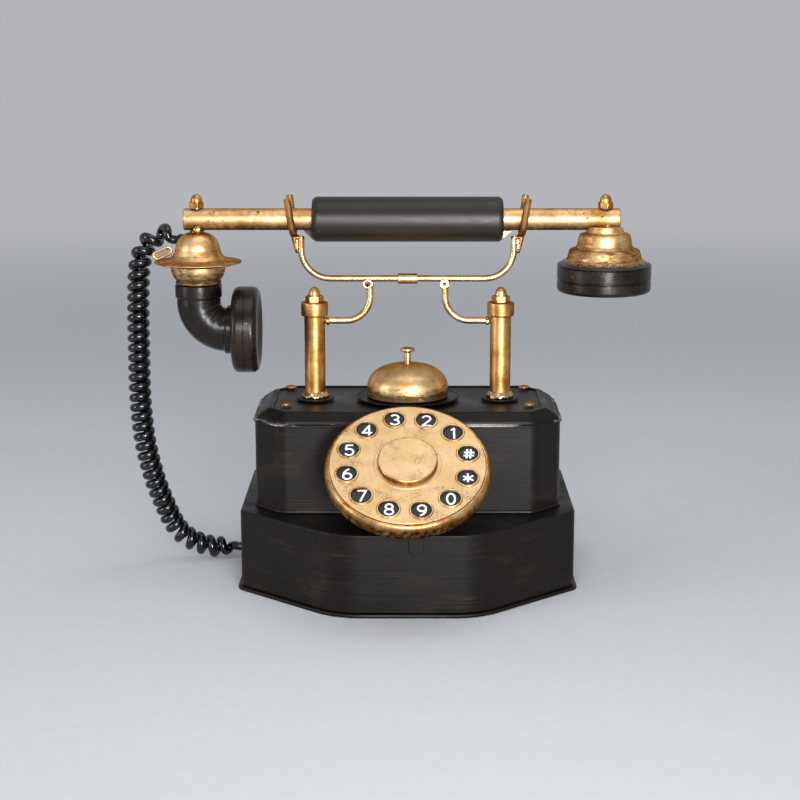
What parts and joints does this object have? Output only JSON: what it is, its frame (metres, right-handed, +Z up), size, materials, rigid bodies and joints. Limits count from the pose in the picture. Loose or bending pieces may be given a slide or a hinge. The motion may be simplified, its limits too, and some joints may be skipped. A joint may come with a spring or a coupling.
{
  "type": "telephone",
  "caption": "Desk telephone with a two-tier metal case, tilted finger-wheel dial, push-button bell, forked cradle on two posts and a tube handset on a curly cord",
  "frame": {"origin": "centre of the flat underside of the base plate", "axes": "+X to the user's right along the handset, +Y to the back, +Z up; the dial faces -Y"},
  "size_m": [0.3661, 0.2228, 0.2693],
  "materials": {
    "antique_gold": "antique gold lacquer over metal, worn dark in the corners",
    "black_paint": "satin black paint, faintly brushed, with brown wear",
    "grip_black": "satin black sleeve",
    "moulded_black": "semi-gloss black moulding",
    "cord_black": "glossy black cord jacket",
    "number_black": "matt black with white characters",
    "plain_steel": "plain steel"
  },
  "bodies": {
    "base": {"arm_left": "antique_gold", "arm_right": "antique_gold", "base_plate": "black_paint", "bell_dish": "black_paint", "bell_gong": "antique_gold", "bell_guide": "antique_gold", "button_spring": "plain_steel", "cord_gland": "moulded_black", "cradle_rail_left": "antique_gold", "cradle_rail_right": "antique_gold", "cradle_sleeve": "antique_gold", "curly_cord": "cord_black", "dial_pan": "antique_gold", "dial_spring": "plain_steel", "dial_strap": "black_paint", "fork_left": "antique_gold", "fork_right": "antique_gold", "hammer_bracket": "plain_steel", "lid": "black_paint", "lid_rivet_back_left": "antique_gold", "lid_rivet_back_right": "antique_gold", "lid_rivet_front_left": "antique_gold", "lid_rivet_front_right": "antique_gold", "lower_case": "black_paint", "number_plate": "number_black", "post_bolt_left": "plain_steel", "post_bolt_right": "plain_steel", "post_collar_left": "antique_gold", "post_collar_right": "antique_gold", "post_left": "antique_gold", "post_nut_left": "antique_gold", "post_nut_right": "antique_gold", "post_right": "antique_gold", "post_washer_left": "black_paint", "post_washer_right": "black_paint", "upper_case": "black_paint"},
    "handset": {"cord_link": "antique_gold", "cord_outlet": "moulded_black", "earpiece_cap": "moulded_black", "earpiece_nut": "antique_gold", "earpiece_shell": "antique_gold", "earpiece_stud": "plain_steel", "handset_grip": "grip_black", "handset_tube": "antique_gold", "mouthpiece_brim": "antique_gold", "mouthpiece_cap": "moulded_black", "mouthpiece_cup": "antique_gold", "mouthpiece_elbow": "moulded_black", "mouthpiece_nut": "antique_gold", "mouthpiece_spacer": "antique_gold", "mouthpiece_stud": "plain_steel", "receiver_capsule": "plain_steel", "transmitter_capsule": "plain_steel"},
    "dial_wheel": {"finger_wheel": "antique_gold", "dial_cap": "antique_gold", "dial_spindle": "plain_steel"},
    "bell_button": {"bell_button": "antique_gold"},
    "bell_hammer": {"bell_hammer": "plain_steel"}
  },
  "joints": [
    {"name": "handset_lift", "type": "slide", "parent": "base", "child": "handset", "axis": [0, 0, 1], "range_m": [0, 0.06], "deforming": ["curly_cord"]},
    {"name": "dial_turn", "type": "hinge", "parent": "base", "child": "dial_wheel", "pos_m": [0, -0.0874, 0.10431], "axis": [0, -0.5592, 0.829], "range_deg": [-330, 0], "stiffness_Nm_per_rad": 0.02, "springref_deg": 17.19},
    {"name": "bell_press", "type": "slide", "parent": "base", "child": "bell_button", "axis": [0, 0, -1], "range_m": [0, 0.002], "stiffness_N_per_m": 300, "springref_m": -0.002, "deforming": ["button_spring"]},
    {"name": "hammer_swing", "type": "hinge", "parent": "base", "child": "bell_hammer", "pos_m": [0.008, 0.016, 0.1343], "axis": [0, -1, 0], "range_deg": [0, 16.6]}
  ],
  "couplings": [
    {"joint": "hammer_swing", "follows": "bell_press", "rad_per_m": 142.86}
  ]
}
